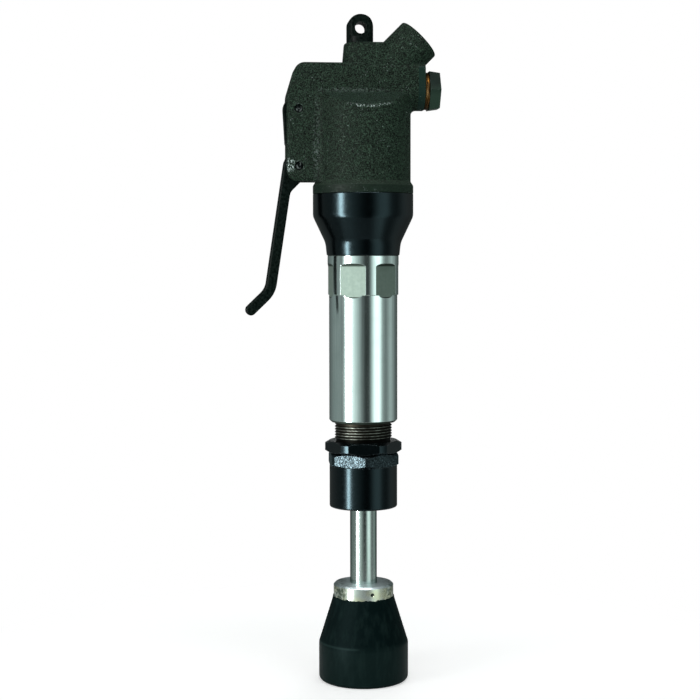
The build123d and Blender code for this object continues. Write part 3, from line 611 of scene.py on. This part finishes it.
def plated_steel():
    """Satin plating, yellowed in patches, darker and patchy to either side of its front, dusty on top,
    with a few dark pits.
    """
    plain = (0.66, 0.74, 0.68)
    yellowed = (0.70, 0.74, 0.54)
    pit = (0.05, 0.06, 0.045)
    side_dark_colour = (0.045, 0.075, 0.045)
    top_dust = (0.66, 0.76, 0.78)
    top_dark_colour = (0.13, 0.18, 0.165)
    side_dulling = 0.2
    dust_dulling = 0.22
    look = Finish("plated_steel", Metallic=1.0)
    colour = look.blend(look.patches(size=9.0, detail=2.0, low=0.42, high=0.6), plain, yellowed)
    pits = look.patches(size=0.9, detail=2.0, low=0.70, high=0.76)
    colour = look.blend(pits, colour, pit, strength=0.7)
    # Darker, duller patches to either side of the front
    sides = look.span(look.apart(look.axis("X"), FLANGE_FRONT_X), FLANGE_FRONT_HALF, FLANGE_FRONT_HALF + FLANGE_FRONT_FADE)
    darker_sides = look.times(sides, look.patches(size=2.2, detail=4.0, low=0.34, high=0.56))
    colour = look.blend(darker_sides, colour, side_dark_colour, strength=0.9)
    top = look.above(look.rise(), limit=0.7)
    top_colour = look.blend(darker_sides, top_dust, top_dark_colour, strength=0.7)
    look.set("Base Color", look.blend(top, colour, top_colour))
    rough = look.wander(size=2.0, detail=3.0, start=0.16, end=0.26)
    dull = look.most(look.times(darker_sides, side_dulling), look.times(top, dust_dulling))
    look.set("Roughness", look.plus(rough, dull))
    rings = look.noise(size=0.5, detail=2.0, stretch=(0.02, 0.02, 1.0))
    look.set("Normal", look.bump(rings, depth=0.006, strength=0.6, under=look.round_edges(radius=0.4)))
    look.turned(amount=0.4)
    return look.material


def machined(name, dark, light, roughness):
    """Plain machined metal with a fine grain and rubbed edges."""
    brightening = 1.25
    unevenness = 0.06
    look = Finish(name, Metallic=1.0)
    colour = look.blend(look.patches(size=3.0, detail=4.0, low=0.35, high=0.65), dark, light)
    bare = tuple(min(1.0, value * brightening) for value in light)
    look.set("Base Color", look.blend(look.edge(radius=0.4), colour, bare, strength=0.5))
    smoothest = roughness - unevenness
    roughest = roughness + unevenness
    look.set("Roughness", look.wander(size=0.8, detail=3.0, start=smoothest, end=roughest))
    grain = look.noise(size=0.4, detail=2.0)
    look.set("Normal", look.bump(grain, depth=0.006, strength=0.5, under=look.round_edges(radius=0.25)))
    return look.material


def rubber(name, dark, light):
    """Black rubber with a fine skin and paler scuffs, dusty below the butt's crease, dull above it, with
    a painted highlight along the crease on its left side.
    """
    scuff_share = 0.45
    rub_share = 0.7
    cone_dulling = 0.25
    cone_fade = 1.0
    dust_starts = 2.0
    dust_full = 3.0
    look = Finish(name, IOR=1.13, Specular_Tint=(0.55, 0.90, 0.90, 1.0))
    height = look.axis("Z")
    scuff = look.patches(size=3.5, detail=5.0, low=0.46, high=0.70, stretch=(1.0, 1.0, 0.3))
    rub = look.rub(radius=1.5, size=2.0, detail=4.0, low=0.4, high=0.6)
    paler = look.most(look.times(scuff, scuff_share), look.times(rub, rub_share))
    colour = look.blend(paler, dark, light)
    dusty = look.span(height, BUTT_SIDE_Z + dust_starts, BUTT_SIDE_Z - dust_full, end=0.5)
    crease = look.span(look.apart(height, BUTT_SIDE_Z), low=0.9, high=0.2)
    # Painted highlight along the crease, on its left side only
    crease_highlight = look.times(crease, look.span(look.axis("X"), CREASE_HIGHLIGHT_END_X, CREASE_HIGHLIGHT_END_X - CREASE_HIGHLIGHT_FADE))
    look.set("Base Color", look.blend(look.plus(dusty, crease_highlight), colour, light))
    cone = look.span(height, BUTT_SIDE_Z - cone_fade, BUTT_SIDE_Z + cone_fade)
    rough = look.span(scuff, low=0.0, high=1.0, start=0.36, end=0.5)
    look.set("Roughness", look.plus(rough, look.times(cone, cone_dulling)))
    grain = look.plus(look.noise(size=0.9, detail=3.0), look.noise(size=6.0, detail=2.0))
    look.set("Normal", look.bump(grain, depth=0.12, strength=0.6))
    return look.material


def fibre(name, dark, light):
    """Matted fibre with short flat strands."""
    look = Finish(name, IOR=1.45)
    strands = look.noise(size=0.5, detail=4.0, stretch=(1.0, 1.0, 3.0), distortion=1.0)
    look.set("Base Color", look.blend(look.span(strands, WANDER_LOW, WANDER_HIGH), dark, light))
    look.set("Roughness", look.span(strands, WANDER_LOW, WANDER_HIGH, start=0.7, end=0.9))
    look.set("Normal", look.bump(strands, depth=0.05, strength=0.6))
    return look.material


# Faces that meet at more than this many degrees keep a sharp edge
SHARP_ANGLE = 35.0
BUTT_SHARP_ANGLE = 50.0


def mesh_object(name, mesh, sharp_angle=SHARP_ANGLE):
    """An object of this mesh in the scene, shaded smooth between its sharp edges."""
    bmesh.ops.recalc_face_normals(mesh, faces=mesh.faces)
    data = bpy.data.meshes.new(name)
    mesh.to_mesh(data)
    mesh.free()
    data.shade_smooth()
    data.set_sharp_from_angle(angle=math.radians(sharp_angle))
    piece = bpy.data.objects.new(name, data)
    bpy.context.collection.objects.link(piece)
    return piece


def wound_object(name, sections, place, closed=True, sharp_angle=SHARP_ANGLE):
    """A skin over sections about Z, each an angle with the radii and heights of its points."""
    mesh = bmesh.new()
    loops = []
    for angle, points in sections:
        loop = []
        for radius, z in points:
            spot = Vector((radius * math.cos(angle), radius * math.sin(angle), z))
            loop.append(mesh.verts.new(place @ (spot * MM)))
        loops.append(loop)
    following = loops[1:]
    if closed:
        following += loops[:1]
    count = len(loops[0])
    for first, second in zip(loops, following):
        for index in range(count):
            after = (index + 1) % count
            mesh.faces.new((first[index], first[after], second[after], second[index]))
    if not closed:
        mesh.faces.new(loops[0])
        mesh.faces.new(loops[-1])
    return mesh_object(name, mesh, sharp_angle)


# Threads, as V ridges with flat crests, whose half widths and fill are shares of the pitch
THREAD_STEPS = 120
THREAD_PITCH = 1.814
RIDGE_FOOT = 0.5
RIDGE_CREST = 0.1
RIDGE_FILL = 0.98
RIDGE_SUNK = 0.1
RUN_OUT_TURNS = 0.25
RUN_OUT_LEAST = 0.05
INLET_PITCH = 1.41
INLET_DEPTH = 12.0
INLET_RELIEF = 0.8
INLET_RIDGE = 0.7


def thread_sections(base_r, crest_r, pitch, length):
    """A ridge that winds about Z from 0 to the length and runs out at both ends."""
    ridge = (
        (base_r, -RIDGE_FOOT),
        (crest_r, -RIDGE_CREST),
        (crest_r, RIDGE_CREST),
        (base_r, RIDGE_FOOT),
    )
    steps = int((length / pitch - 1) * THREAD_STEPS)
    run_out = THREAD_STEPS * RUN_OUT_TURNS
    sections = []
    for step in range(steps + 1):
        middle = pitch * (RIDGE_FOOT + step / THREAD_STEPS)
        grown = min(1.0, step / run_out, (steps - step) / run_out)
        grown = max(grown, RUN_OUT_LEAST)
        points = []
        for radius, shift in ridge:
            points.append((base_r + (radius - base_r) * grown, middle + shift * pitch * RIDGE_FILL))
        sections.append((step * math.tau / THREAD_STEPS, points))
    return sections


def barrel_thread():
    """The barrel's thread between the lock nut and its shoulder."""
    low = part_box("lock_nut")[1].z
    length = BARREL_Z - low / MM
    place = Matrix.Translation((0.0, 0.0, low))
    sections = thread_sections(THREAD_ROOT_R - RIDGE_SUNK, THREAD_CREST_R, THREAD_PITCH, length)
    return wound_object("barrel_thread", sections, place, closed=False)


def inlet_thread():
    """The pipe thread that winds into the air inlet from just inside its mouth."""
    mount = next(entry for entry in record["mounts"] if entry["name"] == "air_inlet")
    way = Vector(mount["axis"]).normalized()
    bore_r = mount["dims"]["r_mm"]
    mouth = Vector(mount["pos_m"]) + way * (mount["dims"]["length_mm"] / 2 * MM)
    start = mouth - way * INLET_RELIEF * MM
    turn = (-way).to_track_quat("Z", "Y").to_matrix().to_4x4()
    place = Matrix.Translation(start) @ turn
    sections = thread_sections(bore_r + RIDGE_SUNK, bore_r - INLET_RIDGE, INLET_PITCH, INLET_DEPTH)
    return wound_object("inlet_thread", sections, place, closed=False)


# Copper gasket: a bead, crimped round its outside, beside a plain band
GASKET_STEPS = 288
GASKET_WALL = 2.2
GASKET_GAP = 0.02
CRIMPS = 48
CRIMP_DEPTH = 0.16

# Points of its outline: in from the head's side or the cap's, below the outside, and share of a crimp
GASKET_BEAD = (
    (GASKET_GAP, 0.5, 0.0),
    (0.15, 0.15, 1.0),
    (0.45, 0.0, 1.0),
    (0.8, 0.1, 1.0),
    (1.05, 0.6, 0.0),
    (1.25, 0.35, 0.0),
    (1.5, 0.22, 0.0),
)
GASKET_BAND = (
    (0.4, 0.22, 0.0),
    (0.12, 0.35, 0.0),
    (GASKET_GAP, 0.6, 0.0),
    (GASKET_GAP, GASKET_WALL, 0.0),
)

# Turns what is wound about Z to lie about X
Z_TO_X = Matrix((
    (0.0, 0.0, 1.0, 0.0),
    (1.0, 0.0, 0.0, 0.0),
    (0.0, 1.0, 0.0, 0.0),
    (0.0, 0.0, 0.0, 1.0),
))


def gasket_ring():
    """The copper ring between the head and the throttle cap."""
    low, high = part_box("cap_gasket")
    width = (high.x - low.x) / MM
    outer_r = (high.y - low.y) / 2 / MM
    outline = [(GASKET_GAP, GASKET_WALL, 0.0), *GASKET_BEAD]
    for back, sunk, share in GASKET_BAND:
        outline.append((width - back, sunk, share))
    sections = []
    for step in range(GASKET_STEPS):
        angle = step * math.tau / GASKET_STEPS
        crimp = CRIMP_DEPTH * (1.0 - math.cos(angle * CRIMPS)) / 2
        points = [(outer_r - sunk - crimp * share, along) for along, sunk, share in outline]
        sections.append((angle, points))
    place = Matrix.Translation((low.x, 0.0, (low.z + high.z) / 2)) @ Z_TO_X
    return wound_object("gasket_ring", sections, place)


# Rubber butt: a moulded shell with a rounded foot, a soft crease and a ragged lip, open at its axis
BUTT_STEPS = 240
BUTT_ROUND = 3.0
ROUND_POINTS = 6
CREASE_DEPTH = 0.35
LIP_RISE = 1.0
HUB_STEM_R = 12.85
HUB_RIB_R = 15.55
AXIS_HOLE_R = 1.0

# Heights of the hub's two ribs, lowest and highest
HUB_RIBS = ((18.4, 23.4), (36.9, 40.9))

# Up from the top of the butt's side, and share of the crease's depth
CREASE_POINTS = ((-1.6, 0.0), (-0.7, 0.3), (0.3, 1.0), (1.2, 2.0))

# Out from the hub's flange, up from the butt's top, and share of the lip's rise
LIP_POINTS = (
    (0.7, -0.5, 0.0),
    (0.5, -0.15, 1.0),
    (0.3, 0.0, 1.0),
    (0.06, -0.1, 1.0),
    (0.06, 0.0, 0.0),
)

# Waves of the lip: how many go round the butt, their height and their phase
LIP_WAVES = ((11, 0.16, 0.4), (17, 0.15, 2.1), (29, 0.14, 4.4), (47, 0.10, 1.3))


def butt_section(outer_r, flange_r, top_z, lip):
    """The butt's half section from its foot, up the outside and down the hub's bed."""
    points = [(AXIS_HOLE_R, 0.0)]
    for point in range(ROUND_POINTS + 1):
        angle = math.pi / 2 * point / ROUND_POINTS
        radius = outer_r - BUTT_ROUND + BUTT_ROUND * math.sin(angle)
        points.append((radius, BUTT_ROUND - BUTT_ROUND * math.cos(angle)))
    for up, share in CREASE_POINTS:
        points.append((outer_r - CREASE_DEPTH * share, BUTT_SIDE_Z + up))
    for out, up, share in LIP_POINTS:
        points.append((flange_r + out, top_z + lip * share + up))
    points.append((HUB_STEM_R, top_z))
    for low, high in reversed(HUB_RIBS):
        points += [(HUB_STEM_R, high), (HUB_RIB_R, high), (HUB_RIB_R, low), (HUB_STEM_R, low)]
    points[-1] = (AXIS_HOLE_R, HUB_RIBS[0][0])
    return points


def rubber_shell():
    """The rubber butt, moulded round its hub."""
    low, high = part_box("rubber_butt")
    hub_low, hub_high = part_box("butt_hub")
    outer_r = (high.x - low.x) / 2 / MM
    flange_r = (hub_high.x - hub_low.x) / 2 / MM
    sections = []
    for step in range(BUTT_STEPS):
        angle = step * math.tau / BUTT_STEPS
        lip = LIP_RISE
        for count, height, phase in LIP_WAVES:
            lip += height * math.sin(count * angle + phase)
        sections.append((angle, butt_section(outer_r, flange_r, high.z / MM, lip)))
    return wound_object("butt_shell", sections, Matrix.Identity(4), sharp_angle=BUTT_SHARP_ANGLE)


def spring_coil():
    """The throttle spring, copied to a mesh of its own. The real spring shortens towards the cap as the
    poppet lifts; this copy keeps its shape.
    """
    coil = bpy.data.objects.new("spring_coil", nodes["throttle_spring"].data.copy())
    bpy.context.collection.objects.link(coil)
    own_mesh(coil)
    return coil


# Plain finishes: a dark and a light colour, and for metals the roughness
METALS = {
    "machined_steel": ((0.30, 0.33, 0.33), (0.44, 0.47, 0.46), 0.3),
    "copper": ((0.065, 0.028, 0.005), (0.115, 0.068, 0.028), 0.36),
    "bronze": ((0.42, 0.29, 0.11), (0.56, 0.40, 0.17), 0.3),
    "oiled_steel": ((0.045, 0.045, 0.040), (0.090, 0.090, 0.080), 0.34),
    "dark_steel": ((0.022, 0.026, 0.022), (0.045, 0.052, 0.045), 0.5),
}
RUBBERS = {
    "butt_rubber": ((0.0010, 0.0054, 0.0057), (0.0130, 0.0270, 0.0255)),
    "seal_rubber": ((0.005, 0.006, 0.006), (0.02, 0.021, 0.021)),
}
FIBRES = {
    "packing_fibre": ((0.05, 0.045, 0.04), (0.16, 0.15, 0.13)),
    "gasket_fibre": ((0.24, 0.19, 0.13), (0.40, 0.33, 0.24)),
}

# Finishes by name, among them one for each material slot
finishes = {
    "wrinkle_paint": wrinkle_paint(),
    "cap_paint": cap_paint(),
    "black_satin": black_satin(),
    "black_gloss": black_gloss("black_gloss"),
    "gland_gloss": black_gloss("gland_gloss", speckled_above=GLAND_HEX_Z + HEX_MARGIN),
    "bright_steel": bright_steel(),
    "ground_steel": ground_steel(),
    "plated_steel": plated_steel(),
    "pin_steel": pin_steel(),
}
for name, values in METALS.items():
    finishes[name] = machined(name, *values)
for name, colours in RUBBERS.items():
    finishes[name] = rubber(name, *colours)
for name, colours in FIBRES.items():
    finishes[name] = fibre(name, *colours)

# Pieces that look different from the rest of their slot
OWN_FINISH = {
    "gland_nut": "gland_gloss",
    "piston_rod": "ground_steel",
    "valve_chest": "oiled_steel",
    "butt_pin": "dark_steel",
    "lever_pin": "pin_steel",
    "rocker_pin": "pin_steel",
}

for part in record["subparts"]:
    finish = OWN_FINISH.get(part["node"], part["material_slot"])
    materials = nodes[part["node"]].data.materials
    materials.clear()
    materials.append(finishes[finish])

winding = barrel_thread()
winding.data.materials.append(oily_thread())
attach(winding, "tool_body")

pipe_thread = inlet_thread()
pipe_thread.data.materials.append(finishes["machined_steel"])
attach(pipe_thread, "tool_body")

ring = gasket_ring()
ring.data.materials.append(finishes["copper"])
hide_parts("cap_gasket")
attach(ring, "tool_body")

spring = spring_coil()
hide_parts("throttle_spring")
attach(spring, "tool_body")

butt = rubber_shell()
butt.data.materials.append(finishes["butt_rubber"])
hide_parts("rubber_butt")
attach(butt, "ram")

# Studio room: its brightness round the tool, by degrees from the camera's side, right positive
ROOM_LEVELS = (
    (-180, 0.10),
    (-150, 0.12),
    (-110, 0.27),
    (-84, 0.27),
    (-74, 0.14),
    (-64, 0.60),
    (-38, 1.00),
    (-20, 0.56),
    (-5, 0.20),
    (6, 0.04),
    (19, 0.04),
    (25, 0.30),
    (40, 1.50),
    (54, 1.60),
    (68, 0.34),
    (82, 0.18),
    (104, 0.46),
    (134, 0.14),
    (155, 0.07),
    (180, 0.10),
)
ROOM_TINT = (0.86, 1.0, 0.97)
CEILING_COLOUR = (0.30, 0.30, 0.30, 1.0)
CEILING_STARTS = 0.45
CEILING_FULL = 0.85

# White backdrop that metal mirrors: cosine from the camera's line, and sine of its top's elevation
BACKDROP_REACH = math.cos(math.radians(9.0))
BACKDROP_TOP = math.sin(math.radians(4.0))


def make_world():
    """A dim room that is darkest where the camera stands, with a white backdrop behind the tool."""
    world = bpy.data.worlds.new("studio")
    bpy.context.scene.world = world
    world.use_nodes = True
    graph = Nodes(world.node_tree)
    way = graph.add("ShaderNodeTexCoord").outputs["Generated"]
    turn = graph.maths("ARCTAN2", graph.dot(way, camera_right), graph.dot(way, to_camera))
    ramp = graph.add("ShaderNodeValToRGB", {"Fac": graph.span(turn, -math.pi, math.pi)})
    elements = ramp.color_ramp.elements
    while len(elements) < len(ROOM_LEVELS):
        elements.new(1.0)
    for element, (degrees, level) in zip(elements, ROOM_LEVELS):
        element.position = (degrees + 180) / 360
        element.color = (*(level * share for share in ROOM_TINT), 1.0)
    height = graph.dot(way, (0.0, 0.0, 1.0))
    overhead = graph.span(height, CEILING_STARTS, CEILING_FULL, interpolation="SMOOTHSTEP")
    walls = graph.background(ramp.outputs["Color"])
    room = graph.mix(overhead, walls, graph.background(CEILING_COLOUR))
    behind = graph.above(graph.dot(way, -to_camera), BACKDROP_REACH)
    behind = graph.times(behind, graph.below(height, BACKDROP_TOP))
    mirrored = graph.times(graph.ray("Is Glossy Ray"), behind)
    seen = graph.most(mirrored, graph.ray("Is Transmission Ray"), graph.ray("Is Camera Ray"))
    shown = graph.mix(seen, room, graph.background(WHITE))
    graph.feed(graph.tree.nodes["World Output"].inputs["Surface"], shown)


# Floor: a pale round under the butt that fades into the white backdrop
FLOOR_R = 0.30
FLOOR_POINTS = 64
FLOOR_COLOUR = (0.8, 0.8, 0.8, 1.0)
FLOOR_LIFT = 0.52
FADE_STARTS = 0.5


def floor_paper():
    """Pale paper, lifted for the camera and faded to white at the floor's edge."""
    material = bpy.data.materials.new("floor")
    material.use_nodes = True
    graph = Nodes(material.node_tree)
    graph.tree.nodes.remove(graph.tree.nodes["Principled BSDF"])
    for_camera = graph.ray("Is Camera Ray")
    paper = graph.add("ShaderNodeBsdfDiffuse", {"Color": FLOOR_COLOUR}).outputs[0]
    lift = graph.add("ShaderNodeEmission", {"Strength": graph.times(for_camera, FLOOR_LIFT)}).outputs[0]
    lit = graph.add("ShaderNodeAddShader", {0: paper, 1: lift}).outputs[0]
    reach = graph.length(graph.add("ShaderNodeTexCoord").outputs["Object"])
    fade = graph.span(reach, FADE_STARTS * FLOOR_R, FLOOR_R, interpolation="SMOOTHSTEP")
    white = graph.add("ShaderNodeEmission").outputs[0]
    shown = graph.mix(graph.times(fade, for_camera), lit, white)
    graph.feed(graph.tree.nodes["Material Output"].inputs["Surface"], shown)
    return material


def make_floor():
    """The tool stands on its butt, so the floor goes down with the ram."""
    mesh = bmesh.new()
    corners = []
    for point in range(FLOOR_POINTS):
        angle = point * math.tau / FLOOR_POINTS
        corners.append(mesh.verts.new((FLOOR_R * math.cos(angle), FLOOR_R * math.sin(angle), 0.0)))
    mesh.faces.new(corners)
    floor = mesh_object("floor", mesh)
    floor.data.materials.append(floor_paper())
    floor.parent = frame["bodies"]["ram"]


# Lamps: a tall box at the left and one overhead, each with a bright core before it, and one behind
LEFT_AZIMUTH = -51.0
LEFT_DISTANCE = 0.75
LEFT_CORE_DISTANCE = 0.74
BACK_AZIMUTH = 165.0
BACK_DISTANCE = 0.9
BACK_HEIGHT = 0.40
SIDE_HEIGHT = 0.22
SIDE_TARGET = (0.0, 0.0, SIDE_HEIGHT)
TOP_PLACE = (0.0, -0.35, 1.15)
TOP_CORE_PLACE = (0.0, -0.35, 1.14)
TOP_TARGET = (0.0, 0.0, 0.35)


def softbox(name, place, target, width, height, radiance, lights_matte=True, mirrored=True):
    """An area light of an even brightness, turned to a point and hidden from the camera."""
    data = bpy.data.lights.new(name, "AREA")
    data.shape = "RECTANGLE"
    data.size = width
    data.size_y = height
    data.energy = radiance * math.pi * width * height
    lamp = bpy.data.objects.new(name, data)
    lamp.location = place
    lamp.rotation_mode = "QUATERNION"
    lamp.rotation_quaternion = (Vector(target) - place).to_track_quat("-Z", "Y")
    lamp.visible_camera = False
    lamp.visible_diffuse = lights_matte
    lamp.visible_glossy = mirrored
    bpy.context.collection.objects.link(lamp)


def round_place(azimuth, distance, height):
    """A place by its azimuth from the camera's side, positive to the right."""
    angle = math.radians(azimuth)
    spot = camera_right * math.sin(angle) + to_camera * math.cos(angle)
    return spot * distance + Vector((0.0, 0.0, height))


def make_lamps():
    """The softboxes. The cores shine in gloss alone, and the one behind lights the matte alone."""
    place = round_place(LEFT_AZIMUTH, LEFT_DISTANCE, SIDE_HEIGHT)
    softbox("left_box", place, SIDE_TARGET, width=0.24, height=0.74, radiance=3.6)
    place = round_place(LEFT_AZIMUTH, LEFT_CORE_DISTANCE, SIDE_HEIGHT)
    softbox("left_core", place, SIDE_TARGET, width=0.12, height=0.74, radiance=34.0, lights_matte=False)
    place = round_place(BACK_AZIMUTH, BACK_DISTANCE, BACK_HEIGHT)
    softbox("back_box", place, SIDE_TARGET, width=0.7, height=0.7, radiance=2.2, mirrored=False)
    place = Vector(TOP_PLACE)
    softbox("top_box", place, TOP_TARGET, width=0.5, height=0.2, radiance=6.5)
    place = Vector(TOP_CORE_PLACE)
    softbox("top_core", place, TOP_TARGET, width=0.5, height=0.08, radiance=30.0, lights_matte=False)


make_world()
make_floor()
make_lamps()
